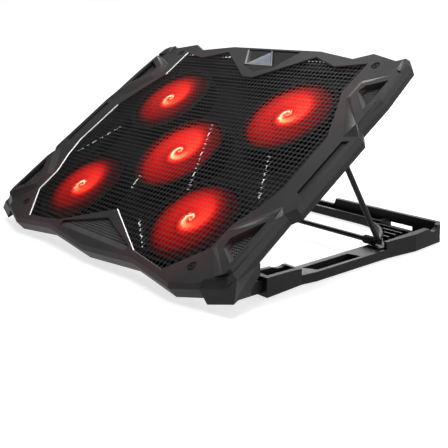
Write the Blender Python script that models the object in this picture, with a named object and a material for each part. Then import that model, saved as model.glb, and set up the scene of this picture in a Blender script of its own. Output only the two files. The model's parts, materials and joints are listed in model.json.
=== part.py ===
"""Laptop cooling pad: a tilting deck with five fans on a U-shaped folding base.

Units in the tables below are millimetres; MM turns them into metres. World frame: +X right,
+Y to the back, +Z up, origin on the table under the middle of the pad. The deck is modelled
flat, in a frame whose origin is the middle of its mesh field and whose z = 0 is its top face,
and is then hung from the hinge axis at the working tilt.
"""
import math

import bmesh
import bpy
from mathutils import Vector

MM = 0.001

# ---- driving dimensions -------------------------------------------------------------------
TILT = 34.0                 # deck angle in the steepest of its positions, degrees
HINGE_V, HINGE_W = -110.0, -22.0    # hinge axis in the deck's own frame
HINGE_Z = 11.6              # hinge axis above the table
BASE_BACK = 257.0           # back face of the base, behind the hinge axis
DECK_FRONT = 24.6           # front lip of the deck, ahead of the hinge axis, along the deck

BEZEL_BEVEL = 2.4           # the sloped band round the deck's top edge
BEZEL_BAND = 5.0            # its height
SKIRT_BOTTOM = -11.3
FRONT_SKIRT_BOTTOM = -16.4  # it hangs lower ahead of the line FRONT_SKIRT_V
FRONT_SKIRT_V = -112.0
SKIRT = 2.5                 # wall thickness of the bezel
TOP_PLATE = 2.0             # thickness of the bezel's top plate
FIELD_LIP = 1.0             # its thickness along the mesh field, where the sheet lies higher
GAP = 0.4                   # running clearance between separate pieces

FAN_PITCH_U, FAN_PITCH_V = 93.0, 69.3
FAN_R, FAN_BORE = 50.0, 46.5
ROTOR_R, HUB_R = 44.5, 15.0
FAN_TOP, FAN_BOTTOM = -4.4, -21.6
HUB_TOP, HUB_BOTTOM = -6.0, -18.2
BLADE_LOW, BLADE_HIGH = -16.6, -7.1     # edges of a blade at the hub, middle of its thickness
PAN_FLOOR = -24.0
PAN_HALF_U, PAN_HALF_V = 146.0, 122.3
PAN_WALL = 2.0
COVER_TOP, COVER_BOTTOM = -12.0, -14.0

BAIL_V, BAIL_W = 42.5, -21.0        # bail pivot in the deck's frame
BAIL_LENGTH = 96.5          # pivot axis to foot rod axis
BAIL_LEAN = 29.8            # lean of the legs from the vertical at the working tilt, degrees
BAIL_X = 175.0              # leg axis, each side
WIRE_R = 2.5
AXLE_END = 152.0            # the wire's upper ends turn inwards to here

ARM_IN, ARM_OUT = 163.0, 185.0
ARM_H = 9.5
PAD_H = 1.2                 # rubber pads under the base
RACK_TOP = 8.3              # tops of the rack's ribs, just under the foot rod's path
RACK_FLOOR = 4.5

SIDES = {"left": -1.0, "right": 1.0}

# ---- world placement ----------------------------------------------------------------------
COS, SIN = math.cos(math.radians(TILT)), math.sin(math.radians(TILT))
# the deck's lip is its foremost edge; the base's back face is the rearmost
LIP_Y = -DECK_FRONT * COS + HINGE_W * SIN
HINGE_Y = -(BASE_BACK + LIP_Y) / 2.0

# ---- outlines, right half, from the front centre round to the back centre ------------------
DECK_HALF = [
    (0, -136), (75, -129), (136.5, -137), (165, -128), (188, -119), (193, -108), (192, -43),
    (199, -35), (199, 51), (189.5, 62), (190, 97), (185.5, 145), (175, 156), (166, 151.5),
    (134.2, 159.8), (115, 150.8), (67, 159), (0, 159),
]
FIELD_HALF = [
    (0, -85.5), (69, -119), (117.5, -125.5), (146.5, -93), (148, -65.5), (159.5, -40),
    (166, -16), (165, 44), (150, 76), (136.5, 102.5), (137, 142.5), (102, 135.3),
    (67.7, 147.5), (8, 110.5),
]
BADGE_RECESS = [(0, 119.5), (23, 128), (41, 154.3), (-41, 154.3), (-23, 128)]
FRONT_WINDOW = [(-58, -123.4), (58, -123.4), (58.5, -117.3), (0, -98), (-58.5, -117.3)]
# right-hand side windows: the raised frame's foot, its top edge and the opening inside it
FRAME_H = 3.0
FRAME_FOOT = {
    "back": [(148.2, 95), (181, 48.5), (196.3, 51), (187.4, 61.5), (187.6, 97), (184.3, 134),
             (148.2, 118.2)],
    "front": [(148.5, -71), (150.8, -92.3), (175, -115), (189, -106), (189.6, -44), (182, -36)],
}
FRAME_TOP = {
    "back": [(155, 94), (186, 62.5), (187.4, 61), (187.4, 62.5), (186.8, 97), (183.7, 129.5),
             (155, 112.5)],
    "front": [(154.5, -74), (157.2, -91), (185.5, -112.5), (187.6, -105), (188, -52), (185.5, -44)],
}
SIDE_WINDOW = {
    "back": [(160.5, 103.5), (182.4, 82.3), (180.3, 119.5), (161, 109.8)],
    "front": [(162.5, -80), (166, -87.5), (185, -98.5), (183.5, -55)],
}
WINDOW_BEVEL = 3.2          # the sloped front edge of each opening
RAIL_GROOVE = [(183.5, -19), (190.8, -21), (190.8, 45), (183.5, 43)]
GROOVE_FLOOR = -2.0


# ---- outline helpers ----------------------------------------------------------------------
def both_halves(half):
    """Close a right half into a full counter-clockwise outline."""
    left = [(-x, y) for x, y in reversed(half) if x > 0]
    return list(half) + left


def mirrored(outline):
    """The outline on the other side of the pad, kept counter-clockwise."""
    return [(-x, y) for x, y in reversed(outline)]


def inset(outline, distance):
    """Move every edge of a counter-clockwise outline inwards by a distance."""
    result = []
    count = len(outline)
    for i in range(count):
        before, here, after = (Vector(outline[j % count]) for j in (i - 1, i, i + 1))
        d1, d2 = (here - before).normalized(), (after - here).normalized()
        n1, n2 = Vector((-d1.y, d1.x)), Vector((-d2.y, d2.x))
        corner = (n1 + n2) / (1.0 + n1.dot(n2))
        result.append(tuple(here + corner * distance))
    return result


def rectangle(x0, y0, x1, y1):
    return [(x0, y0), (x1, y0), (x1, y1), (x0, y1)]


def circle(radius, count, x=0.0, y=0.0):
    step = 2 * math.pi / count
    return [(x + radius * math.cos(i * step), y + radius * math.sin(i * step)) for i in range(count)]


def window_sites():
    """(corner name, end, outline transform) for the four side windows."""
    for end in ("back", "front"):
        yield end + "_right", end, list
        yield end + "_left", end, mirrored


def fan_sites():
    """Fan name and centre on the deck."""
    sites = {"centre": (0.0, 0.0)}
    for side, sx in SIDES.items():
        sites["front_" + side] = (sx * FAN_PITCH_U, -FAN_PITCH_V)
        sites["back_" + side] = (sx * FAN_PITCH_U, FAN_PITCH_V)
    return sites


# ---- materials ----------------------------------------------------------------------------
def material(name, colour, roughness, metallic=0.0, glow=None):
    mat = bpy.data.materials.new(name)
    mat.use_nodes = True
    shader = mat.node_tree.nodes["Principled BSDF"]
    shader.inputs["Base Color"].default_value = (*colour, 1.0)
    shader.inputs["Roughness"].default_value = roughness
    shader.inputs["Metallic"].default_value = metallic
    if glow:
        shader.inputs["Emission Color"].default_value = (*glow, 1.0)
        shader.inputs["Emission Strength"].default_value = 2.0
    return mat


# ---- solids -------------------------------------------------------------------------------
def make(name, verts, faces, mat=None, smooth=None):
    """A mesh object from points in millimetres."""
    mesh = bpy.data.meshes.new(name)
    mesh.from_pydata([Vector(v) * MM for v in verts], [], faces)
    mesh.update()
    if smooth:
        mesh.shade_smooth()
        mesh.set_sharp_from_angle(angle=math.radians(smooth))
    obj = bpy.data.objects.new(name, mesh)
    bpy.context.scene.collection.objects.link(obj)
    if mat:
        obj.data.materials.append(mat)
    return obj


def loft(name, levels, mat=None, smooth=None):
    """A solid through outlines of equal length, listed from the bottom up as (z, outline)."""
    count = len(levels[0][1])
    verts = [(x, y, z) for z, outline in levels for x, y in outline]
    faces = [list(reversed(range(count)))]
    for k in range(len(levels) - 1):
        for i in range(count):
            a, b = k * count + i, k * count + (i + 1) % count
            faces.append([a, b, b + count, a + count])
    top = (len(levels) - 1) * count
    faces.append([top + i for i in range(count)])
    return make(name, verts, faces, mat, smooth)


def prism(name, outline, z0, z1, mat=None, smooth=None):
    return loft(name, [(z0, outline), (z1, outline)], mat, smooth)


def bar(name, profile, x0, x1, mat=None, smooth=None):
    """Extrude a counter-clockwise (y, z) profile along X."""
    verts = [(x, y, z) for x in (x0, x1) for y, z in profile]
    count = len(profile)
    faces = [list(reversed(range(count))), [count + i for i in range(count)]]
    for i in range(count):
        j = (i + 1) % count
        faces.append([i, j, j + count, i + count])
    return make(name, verts, faces, mat, smooth)


def turned(name, profile, count, mat=None, smooth=40.0, axis="z"):
    """Spin a closed (radius, height) profile that runs up its outer side about an axis."""
    verts, faces = [], []
    for k in range(count):
        angle = 2 * math.pi * k / count
        for r, h in profile:
            p = (r * math.cos(angle), r * math.sin(angle), h)
            verts.append(p if axis == "z" else (p[2], p[0], p[1]))
    n = len(profile)
    for k in range(count):
        for i in range(n):
            j = (i + 1) % n
            a, b = k * n, ((k + 1) % count) * n
            faces.append([a + i, b + i, b + j, a + j])
    return make(name, verts, faces, mat, smooth)


def rod(name, x0, x1, radius, count=16, y=0.0, z=0.0, mat=None, smooth=40.0):
    """A round bar along X."""
    return bar(name, [(py + y, pz + z) for py, pz in circle(radius, count)], x0, x1, mat, smooth)


def combine(target, tool, operation):
    """Apply a Boolean of the tool to the target and drop the tool."""
    modifier = target.modifiers.new("cut", "BOOLEAN")
    modifier.operation = operation
    modifier.solver = "EXACT"
    modifier.object = tool
    graph = bpy.context.evaluated_depsgraph_get()
    result = bpy.data.meshes.new_from_object(target.evaluated_get(graph))
    target.modifiers.clear()
    target.data = result
    bpy.data.objects.remove(tool)
    return target


def cut(target, *tools):
    for tool in tools:
        combine(target, tool, "DIFFERENCE")
    return target


def join(target, *tools):
    for tool in tools:
        combine(target, tool, "UNION")
    return target


def place(obj, parent, location=(0, 0, 0), name=None):
    """Hang an object on an empty, at a place in millimetres in the empty's frame."""
    obj.parent = parent
    obj.location = Vector(location) * MM
    if name:
        obj.name = name
    return obj


def empty(name, location, tilt, parent=None):
    pivot = bpy.data.objects.new(name, None)
    bpy.context.scene.collection.objects.link(pivot)
    pivot.location = Vector(location) * MM
    pivot.rotation_euler = (math.radians(tilt), 0, 0)
    pivot.parent = parent
    return pivot


def hull(name, points, mat=None):
    """The convex solid round a set of points."""
    mesh = bmesh.new()
    for p in points:
        mesh.verts.new(Vector(p) * MM)
    bmesh.ops.convex_hull(mesh, input=mesh.verts)
    bmesh.ops.recalc_face_normals(mesh, faces=mesh.faces)
    data = bpy.data.meshes.new(name)
    mesh.to_mesh(data)
    mesh.free()
    obj = bpy.data.objects.new(name, data)
    bpy.context.scene.collection.objects.link(obj)
    if mat:
        data.materials.append(mat)
    return obj


# ---- the deck's casing --------------------------------------------------------------------
SCREWS = {"front": (145.5, -113.5), "back": (148.5, 141.0)}
COVER_INSET = 4.1           # bottom cover's edge, from the deck outline
USB_V = (-8.0, 12.0)        # centres of the two sockets along the left rail
SWITCH_V = 30.0
BOARD_BOTTOM = -10.2        # underside of the power board
BOARD_POSTS = (-15.0, 33.0)     # supports under it
LUGS = ((157.0, 162.6), (180.9, 183.5))     # the cover's hinge ears, either side of the knuckle
PIN_R = 2.0


def screw_sites():
    sites = {}
    for end, (u, v) in SCREWS.items():
        for side, sx in SIDES.items():
            sites[end + "_" + side] = (sx * u, v)
    return sites


def corner_lobe(sx):
    """The flared wall round a front corner, which hides the hinge."""
    inner = [(189.7, -84), (189.6, -107.2), (187.1, -115.9), (166.1, -124.2)]
    levels = []
    for z, outer in ((-29, [(176.6, -133.4), (200.3, -125), (193.8, -105), (191.2, -84)]),
                     (-12, [(175, -132.4), (200.3, -124.6), (195.5, -108), (191.5, -84)]),
                     (-4.6, [(166.4, -127.3), (191.6, -120), (192.6, -108), (191.8, -84)])):
        plan = outer + inner
        levels.append((z, plan if sx > 0 else mirrored(plan)))
    lobe = loft("lobe", levels)
    below = [(-145, -14.6), (-145, -40), (-75, -40), (-75, -13.5), (-84.5, -13.5), (-89, -19.5),
             (-103, -20.5), (-106.3, -24.4), (-118.5, -14), (-124.3, -12), (-133, -13.6)]
    return cut(lobe, bar("below", below, -210, 210))


def corner_facet(sx):
    """The wedge that slopes each front corner down to its wall."""
    low = [(168.9, -119.6, 0), (184.5, -112, 0), (166.6, -128.6, -4.9), (193.6, -121, -5.2),
           (165.6, -126.4, 0), (194, -113, -3)]
    points = [(sx * x, y, z) for x, y, z in low]
    return hull("facet", points + [(x, y, 9) for x, y, _ in points])


def corner_tip(sx):
    """The raised point behind each back window frame."""
    right = [(172.6, 138.6, -0.5), (174.5, 151.8, -0.5), (182.6, 143.8, -0.5), (184.1, 132.6, -0.5),
             (182, 133.3, -0.5), (176.3, 148, 2.4), (181.6, 143.2, 2.5), (183.7, 132.6, 2.9)]
    return hull("tip", [(sx * x, y, z) for x, y, z in right])


def window_opening(end, reflect):
    """Cutter for a side window: upright walls, and a long slope on its front edge."""
    outline = SIDE_WINDOW[end]
    start = {"back": 0, "front": 1}[end]
    (x0, y0), (x1, y1) = outline[start], outline[start + 1]
    length = math.hypot(x1 - x0, y1 - y0)
    out_x, out_y = (y1 - y0) / length, (x0 - x1) / length
    wide = list(outline)
    for k in (start, start + 1):
        x, y = outline[k]
        wide[k] = (x + WINDOW_BEVEL * out_x, y + WINDOW_BEVEL * out_y)
    return loft("window", [(z, reflect(plan)) for z, plan in
                           ((-6, outline), (-1.2, outline), (FRAME_H, wide), (6, wide))])


def deck_bezel(mat):
    outline = both_halves(DECK_HALF)
    body = loft("deck_bezel", [(FRONT_SKIRT_BOTTOM, inset(outline, 1.2)), (-BEZEL_BAND, outline),
                               (0, inset(outline, BEZEL_BEVEL))])
    cut(body, prism("short_skirt", rectangle(-210, FRONT_SKIRT_V, 210, 170), -30, SKIRT_BOTTOM))
    for _, end, reflect in window_sites():
        foot, top = reflect(FRAME_FOOT[end]), reflect(FRAME_TOP[end])
        join(body, loft("frame", [(-1, foot), (-0.01, foot), (FRAME_H, top)]))
    for sx in SIDES.values():
        join(body, corner_tip(sx))
    inner = inset(outline, SKIRT + 1.2)
    cut(body, loft("hollow", [(-19, inner), (-6, inner), (-TOP_PLATE, inset(outline, SKIRT + 3))]))
    for sx in SIDES.values():
        filler = [(163, -125), (187, -116), (190, -107), (175, -112)]
        join(body, prism("filler", filler if sx > 0 else mirrored(filler), -9, -1))
        join(cut(body, corner_facet(sx)), corner_lobe(sx))
        groove = RAIL_GROOVE if sx > 0 else mirrored(RAIL_GROOVE)
        join(body, prism("trough", inset(groove, -1.5), -4.0, -1.0))
        cut(body, prism("groove", groove, GROOVE_FLOOR, 4.0))
    join(body, prism("backing", inset(BADGE_RECESS, -1.6), -3.2, -1.0))
    cut(body, prism("recess", BADGE_RECESS, -1.8, 4.0))
    field = both_halves(FIELD_HALF)
    cut(body, loft("field", [(-6, field), (-0.8, field), (4, inset(field, -4.8))]))
    cut(body, prism("rebate", inset(field, -5), -6.0, -FIELD_LIP))
    cut(body, prism("front_window", FRONT_WINDOW, -6.0, 4.0))
    for _, end, reflect in window_sites():
        cut(body, window_opening(end, reflect))
    for u, v in screw_sites().values():
        cut(body, prism("counterbore", circle(4.6, 24, u, v), -1.2, 4.0),
            prism("shank_hole", circle(1.9, 12, u, v), -6.0, 4.0))
    for v in USB_V:
        cut(body, prism("usb_slot", rectangle(-204, v - 6.9, -190, v + 6.9), -15, -6.0))
    cut(body, prism("switch_slot", rectangle(-204, SWITCH_V - 5.2, -190, SWITCH_V + 5.2), -15, -6.6))
    body.data.materials.append(mat)
    return body


def bottom_cover(mat):
    outline = inset(both_halves(DECK_HALF), COVER_INSET)
    body = prism("bottom_cover", outline, COVER_BOTTOM, COVER_TOP)
    join(body, prism("pan", rectangle(-PAN_HALF_U, -PAN_HALF_V, PAN_HALF_U, PAN_HALF_V),
                     PAN_FLOOR, COVER_BOTTOM + 1.0))
    # ribs that house the folded prop: one across the back and one down each side
    join(body, prism("back_rib", rectangle(-179.5, 132.9, 179.5, 144), COVER_BOTTOM + 0.5, -5.2))
    for sx in SIDES.values():
        x0, x1 = sorted((sx * 170.3, sx * 179.5))
        join(body, prism("side_rib", rectangle(x0, 78, x1, 134), COVER_BOTTOM + 0.5, -5.2))
    cut(body, prism("rod_channel", rectangle(-178.7, 134.0, 178.7, 143.0), -30, -6.5))
    for sx in SIDES.values():
        x0, x1 = sorted((sx * 171.3, sx * 178.7))
        cut(body, prism("leg_channel", rectangle(x0, 79, x1, 136), -30, -6.5))
    inner_u, inner_v = PAN_HALF_U - PAN_WALL, PAN_HALF_V - PAN_WALL
    cut(body, prism("well", rectangle(-inner_u, -inner_v, inner_u, inner_v), PAN_FLOOR + PAN_WALL, 0))
    for u, v in fan_sites().values():
        for slot in intake_slots(u, v):
            cut(body, prism("intake", slot, PAN_FLOOR - 2, PAN_FLOOR + PAN_WALL + 2))
    for sx in SIDES.values():
        for x0, x1 in LUGS:
            join(body, hinge_lug(*sorted((sx * x0, sx * x1))))
            cut(body, rod("bore", *sorted((sx * (x0 - 1), sx * (x1 + 1))), PIN_R + GAP, 16,
                          HINGE_V, HINGE_W))
    for v in BOARD_POSTS:
        join(body, prism("post", rectangle(-176, v - 3, -168, v + 3), COVER_TOP - 0.5, BOARD_BOTTOM - 0.3))
    body.data.materials.append(mat)
    return body


def intake_slots(u, v):
    """Parallel slots under a fan, each as long as the circle allows."""
    reach, width, pitch = 42.0, 6.0, 10.5
    slots = []
    for k in range(-3, 4):
        offset = k * pitch
        half = math.sqrt(reach ** 2 - offset ** 2)
        slots.append(rectangle(u - half, v + offset - width / 2, u + half, v + offset + width / 2))
    return slots


def hinge_lug(x0, x1):
    radius = 6.0
    arc = [(HINGE_V + radius * math.cos(math.radians(a)), HINGE_W + radius * math.sin(math.radians(a)))
           for a in range(180, 361, 20)]
    profile = arc + [(HINGE_V + radius, COVER_BOTTOM + 1), (HINGE_V - radius, COVER_BOTTOM + 1)]
    return bar("lug", profile, x0, x1)


def mesh_panel(name, outline, margin, mat, top=-TOP_PLATE - 0.3, thickness=0.8):
    """A thin punched sheet, caught under the bezel's top plate."""
    return prism(name, inset(outline, -margin), top - thickness, top, mat)


def deck_screw(name, u, v, mat):
    """Cover screw: a low head on a washer face, with a driver socket, and its shank."""
    head = loft(name, [(-0.9, circle(4.1, 24)), (-0.7, circle(3.1, 24)), (-0.1, circle(2.9, 24))])
    join(head, prism("shank", circle(1.6, 12), -4.8, -0.5))
    cut(head, prism("drive", circle(1.7, 6), -0.6, 1.0))
    head.data.materials.append(mat)
    for vert in head.data.vertices:
        vert.co.x += u * MM
        vert.co.y += v * MM
    return head


def badge(plate_mat, chrome, glass):
    """Blank badge: a dark inlay, a bright rim open at the back, and a plain three-sided lens."""
    inlay = prism("badge_inlay", inset(BADGE_RECESS, GAP), -1.5, -1.0, plate_mat)
    rim = prism("badge_rim", [(-22.4, 129.2), (20.6, 129.2), (0.5, 152.6), (-38.6, 152.6)], -0.7, 0.9)
    cut(rim, prism("inside", [(-20.6, 130.5), (17.9, 130.5), (-2.3, 154), (-36.9, 154)], -3, 3))
    rim.data.materials.append(chrome)
    face = [(-19.5, 132.4), (-16, 130.8), (16.9, 130.8), (-0.9, 150.6)]
    lens = loft("badge_lens", [(-0.7, face), (0.0, face), (0.6, inset(face, 0.8))], glass)
    return [inlay, rim, lens]


# ---- electrics ----------------------------------------------------------------------------
def electrics(board_mat, steel, plastic):
    """Power board along the left rail, its two sockets and the light switch's fixed body."""
    board = prism("power_board", rectangle(-180.2, -22, -163, 40), BOARD_BOTTOM, BOARD_BOTTOM + 1.4,
                  board_mat)
    parts = [board]
    for k, v in enumerate(USB_V, 1):
        shell = prism("usb_socket_%d" % k, rectangle(-196.4, v - 6.5, -180.6, v + 6.5), -11.6, -6.3)
        cut(shell, prism("mouth", rectangle(-199, v - 6.0, -183.0, v + 6.0), -11.1, -6.8))
        join(shell, prism("tongue", rectangle(-194, v - 4.6, -182.6, v + 4.6), -9.2, -7.8))
        shell.data.materials.append(steel)
        parts.append(shell)
    parts.append(prism("switch_body", rectangle(-189.4, SWITCH_V - 6, -180.6, SWITCH_V + 6), -11.6, -6.2,
                       plastic))
    return parts


def switch_knob(mat):
    """Sliding thumb piece, modelled about its own middle."""
    knob = prism("light_switch", rectangle(-198.8, -2.4, -189.8, 2.4), -1.7, 1.7)
    for y in (-1.2, 0.0, 1.2):
        cut(knob, prism("grip", rectangle(-202, y - 0.25, -198.4, y + 0.25), -3, 3))
    knob.data.materials.append(mat)
    return knob


# ---- fans ---------------------------------------------------------------------------------
def fan_frame_mesh():
    """Round frame with a motor seat on four struts, modelled about the fan's axis."""
    ring = turned("ring", [(FAN_BORE, FAN_BOTTOM), (FAN_R, FAN_BOTTOM), (FAN_R, FAN_TOP),
                           (FAN_BORE, FAN_TOP)], 40)
    strut_top = FAN_BOTTOM + 2.4
    for turn in (45, 135):
        c, s = math.cos(math.radians(turn)), math.sin(math.radians(turn))
        strut = [(x * c - y * s, x * s + y * c) for x, y in rectangle(-48, -2, 48, 2)]
        join(ring, prism("strut", strut, FAN_BOTTOM, strut_top))
    join(ring, prism("seat", circle(13.0, 24), FAN_BOTTOM, strut_top))
    join(ring, prism("axle", circle(2.0, 12), strut_top - 1, HUB_TOP - 3.8))
    return ring


def blade_verts(turn):
    """One swept, pitched blade as a stack of four-point sections from hub to tip."""
    verts = []
    stations = 4
    for k in range(stations):
        f = k / (stations - 1)
        r = HUB_R - 1.5 + f * (ROTOR_R - HUB_R + 1.5)
        middle = math.radians(turn + 26.0 * f)
        half = math.radians(19.0 - 3.0 * f)
        low, high = BLADE_LOW + 1.5 * f, BLADE_HIGH - 1.0 * f
        for angle, z in ((middle - half, low), (middle + half, high)):
            for dz in (-0.7, 0.7):
                verts.append((r * math.cos(angle), r * math.sin(angle), z + dz))
    return verts


def fan_rotor_mesh():
    hub = prism("rotor", circle(HUB_R, 28), HUB_BOTTOM, HUB_TOP)
    verts, faces = [], []
    for k in range(7):
        base = len(verts)
        verts += blade_verts(360.0 * k / 7)
        rows = [[base + 4 * s, base + 4 * s + 2, base + 4 * s + 3, base + 4 * s + 1] for s in range(4)]
        faces.append(rows[0][::-1])
        faces.append(rows[-1])
        for (a, b, c, d), (e, f, g, h) in zip(rows, rows[1:]):
            faces += [[a, b, f], [a, f, e], [b, c, g, f], [c, d, g], [d, h, g], [d, a, e, h]]
    join(hub, make("blades", verts, faces))
    cut(hub, prism("bearing", circle(2.4, 12), HUB_BOTTOM - 1, HUB_TOP - 3.2))
    return hub


def fans(deck, frame_mat, rotor_mat):
    frame, rotor = fan_frame_mesh(), fan_rotor_mesh()
    for obj, mat in ((frame, frame_mat), (rotor, rotor_mat)):
        obj.data.materials.append(mat)
        obj.data.shade_smooth()
        obj.data.set_sharp_from_angle(angle=math.radians(35))
    for name, (u, v) in fan_sites().items():
        for kind, source in (("fan_frame_", frame), ("fan_rotor_", rotor)):
            copy = bpy.data.objects.new(kind + name, source.data)
            bpy.context.scene.collection.objects.link(copy)
            place(copy, deck, (u, v - HINGE_V, -HINGE_W))
    bpy.data.objects.remove(frame)
    bpy.data.objects.remove(rotor)


# ---- prop ---------------------------------------------------------------------------------
def rounded_path(corners, radius, steps=4):
    """A polyline through the corners, each turned by a quadratic arc."""
    points = [Vector(corners[0])]
    for before, here, after in zip(corners, corners[1:], corners[2:]):
        here = Vector(here)
        start = here + (Vector(before) - here).normalized() * radius
        end = here + (Vector(after) - here).normalized() * radius
        for k in range(steps + 1):
            t = k / steps
            points.append(start * (1 - t) ** 2 + here * 2 * t * (1 - t) + end * t ** 2)
    return points + [Vector(corners[-1])]


def bail(mat):
    """One bent wire: axle ends, two legs and the foot rod, about the pivot axis."""
    corners = [(-AXLE_END, 0, 0), (-BAIL_X, 0, 0), (-BAIL_X, 0, -BAIL_LENGTH),
               (BAIL_X, 0, -BAIL_LENGTH), (BAIL_X, 0, 0), (AXLE_END, 0, 0)]
    path = rounded_path(corners, 6.0)
    curve = bpy.data.curves.new("prop_bail", "CURVE")
    curve.dimensions = "3D"
    curve.bevel_depth = WIRE_R * MM
    curve.bevel_resolution = 4
    curve.use_fill_caps = True
    spline = curve.splines.new("POLY")
    spline.points.add(len(path) - 1)
    for point, place_at in zip(spline.points, path):
        point.co = (*(place_at * MM), 1.0)
    curve.materials.append(mat)
    obj = bpy.data.objects.new("prop_bail", curve)
    bpy.context.scene.collection.objects.link(obj)
    return obj


def foot_roller(name, sx, mat):
    """Plastic sleeve on the foot rod, just inside the leg."""
    x0, x1 = sorted((sx * 158.5, sx * 168.0))
    profile = [(2.9, x0), (4.0, x0), (4.0, x1), (2.9, x1)]
    return turned(name, profile, 20, mat, axis="x")


def bail_clip(name, sx, mat):
    """Bearing block under the deck that holds one end of the prop's axle."""
    x0, x1 = sorted((sx * 153.0, sx * 161.0))
    block = prism(name, rectangle(x0, BAIL_V - 6, x1, BAIL_V + 6), -25.4, COVER_BOTTOM - 0.3)
    cut(block, rod("bore", x0 - 1, x1 + 1, WIRE_R + 0.4, 16, BAIL_V, BAIL_W))
    block.data.materials.append(mat)
    return block


# ---- base ---------------------------------------------------------------------------------
# plan points are (x, distance behind the hinge axis)
BACK_WALL = 4.3
SHELF_FRONT = 241.0
KNUCKLE = (163.2, 180.3)
ARM_END = 174.0             # the arm stops short of the foot rollers' path
RIBS = (197.0, 208.0, 218.0, 227.0, 236.0)


def gusset_curve(count=8):
    """Concave inner edge from the back shelf round to the arm."""
    p0, p1, p2 = Vector((93, SHELF_FRONT)), Vector((135, 240)), Vector((ARM_IN, 178))
    curve = []
    for k in range(count + 1):
        t = k / count
        curve.append(tuple(p0 * (1 - t) ** 2 + p1 * 2 * t * (1 - t) + p2 * t ** 2))
    return curve


def gusset_x(s):
    """Where the gusset's edge stands at a distance behind the hinge."""
    curve = gusset_curve(24)
    return next(x for x, y in curve if y <= s)


def half_base(side, sx):
    """One arm with its hinge knuckle, front block, rack and rear corner."""
    def plan(points):
        return list(points) if sx > 0 else mirrored(points)

    def slab(name, points, z0, z1):
        return prism(name, plan(points), z0, z1)

    def across(name, profile, x0, x1):
        return bar(name, profile, *sorted((sx * x0, sx * x1)))

    knuckle = across(side, circle(7.0, 20, 0, HINGE_Z), *KNUCKLE)
    body = join(knuckle, slab("neck", rectangle(KNUCKLE[0], 3, KNUCKLE[1], 34), 4.2, 15.0))
    cut(body, rod("bore", *sorted((sx * 160, sx * 184)), PIN_R + GAP, 16, 0, HINGE_Z))
    block = slab("block", [(ARM_IN, 28), (186, 28), (182.5, 69.5), (ARM_IN, 69.5)], PAD_H, 18.3)
    falling = [(60, 16.2), (72, 14.6), (72, 22), (20, 22), (20, 18.3)]
    cut(block, across("fall", falling, 150, 200))
    cut(block, slab("well", [(167, 33), (181, 33), (178.5, 66), (167, 66)], 6, 22))
    cut(block, rod("scallop", *sorted((sx * 150, sx * 170)), 18.0, 40, 60.0, 32.4))
    join(body, block)
    arm = slab("arm", [(ARM_IN, 68.5), (182.4, 68.5), (ARM_OUT, 84.5), (ARM_OUT, ARM_END),
                       (ARM_IN, ARM_END)],
               PAD_H, ARM_H)
    cut(arm, slab("pocket", [(168.5, 83), (181.5, 89), (181.5, 143), (168.5, 139.5)], 4.0, 12))
    join(body, arm)
    floor = gusset_curve() + [(ARM_IN, ARM_END - 2), (184, ARM_END - 2), (184, 252), (80, 252),
                              (80, SHELF_FRONT)]
    join(body, slab("rack", floor, PAD_H, RACK_FLOOR))
    outer = [(ARM_OUT, ARM_END - 1), (185.6, 180.5), (189, 209), (186, 249), (180, BASE_BACK),
             (150, BASE_BACK), (150, BASE_BACK - BACK_WALL), (178.5, BASE_BACK - BACK_WALL), (181.6, 245),
             (181.6, ARM_END - 1)]
    wall = slab("wall", outer, PAD_H, 18.6)
    cut(wall, across("rise", [(170, 16.6), (210, 17.4), (260, 18.7), (260, 24), (170, 24)], 140, 200))
    cut(wall, rod("scoop", *sorted((sx * 176, sx * 195)), 9.0, 32, 238.0, 22.6))
    join(body, wall)
    for s in RIBS:
        join(body, slab("rib", rectangle(gusset_x(s) + 2.5, s, 157, s + 2.2), 3.5, RACK_TOP))
    join(body, slab("rim", rim_strip(), 2.0, RACK_TOP))
    seat = [(168, 2.0), (178, 2.0), (178, 10.3), (175, 11.0), (168, 11.0)]
    join(body, across("seat", seat, 168.8, 181.0))
    return body


def rim_strip():
    """A low lip that follows the gusset's edge."""
    curve = gusset_curve()
    inner = [(x + 2.0, s + 1.6) for x, s in curve]
    return curve + inner[::-1]


def base_frame(mat):
    wall_front = BASE_BACK - BACK_WALL
    body = prism("base_frame", rectangle(-120, SHELF_FRONT, 120, BASE_BACK), PAD_H, 10.0)
    cut(body, prism("channel", rectangle(-114, SHELF_FRONT + 3, 114, wall_front), 5.0, 14))
    for side, sx in SIDES.items():
        join(body, half_base(side, sx))
        x0, x1 = sorted((sx * 44.0, sx * 152.0))
        join(body, prism("tall_wall", rectangle(x0, wall_front, x1, BASE_BACK), 8.0, 18.5))
        cut(body, hull("ramp", [(sx * x, s, z) for s in (wall_front - 2, BASE_BACK + 2)
                                for x, z in ((40, 11.5), (44, 11.5), (49, 24), (40, 24))]))
    join(body, prism("low_wall", rectangle(-46, wall_front, 46, BASE_BACK), 8.0, 12.0))
    for x, s in pad_sites().values():
        cut(body, prism("pad_recess", rectangle(x - 5.4, s - 9.4, x + 5.4, s + 9.4), 0, PAD_H + 1.2))
    body.data.materials.append(mat)
    return body


def pad_sites():
    sites = {}
    for side, sx in SIDES.items():
        sites["front_" + side] = (sx * 174.0, 49.0)
        sites["rear_" + side] = (sx * 172.0, 226.0)
    return sites


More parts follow.
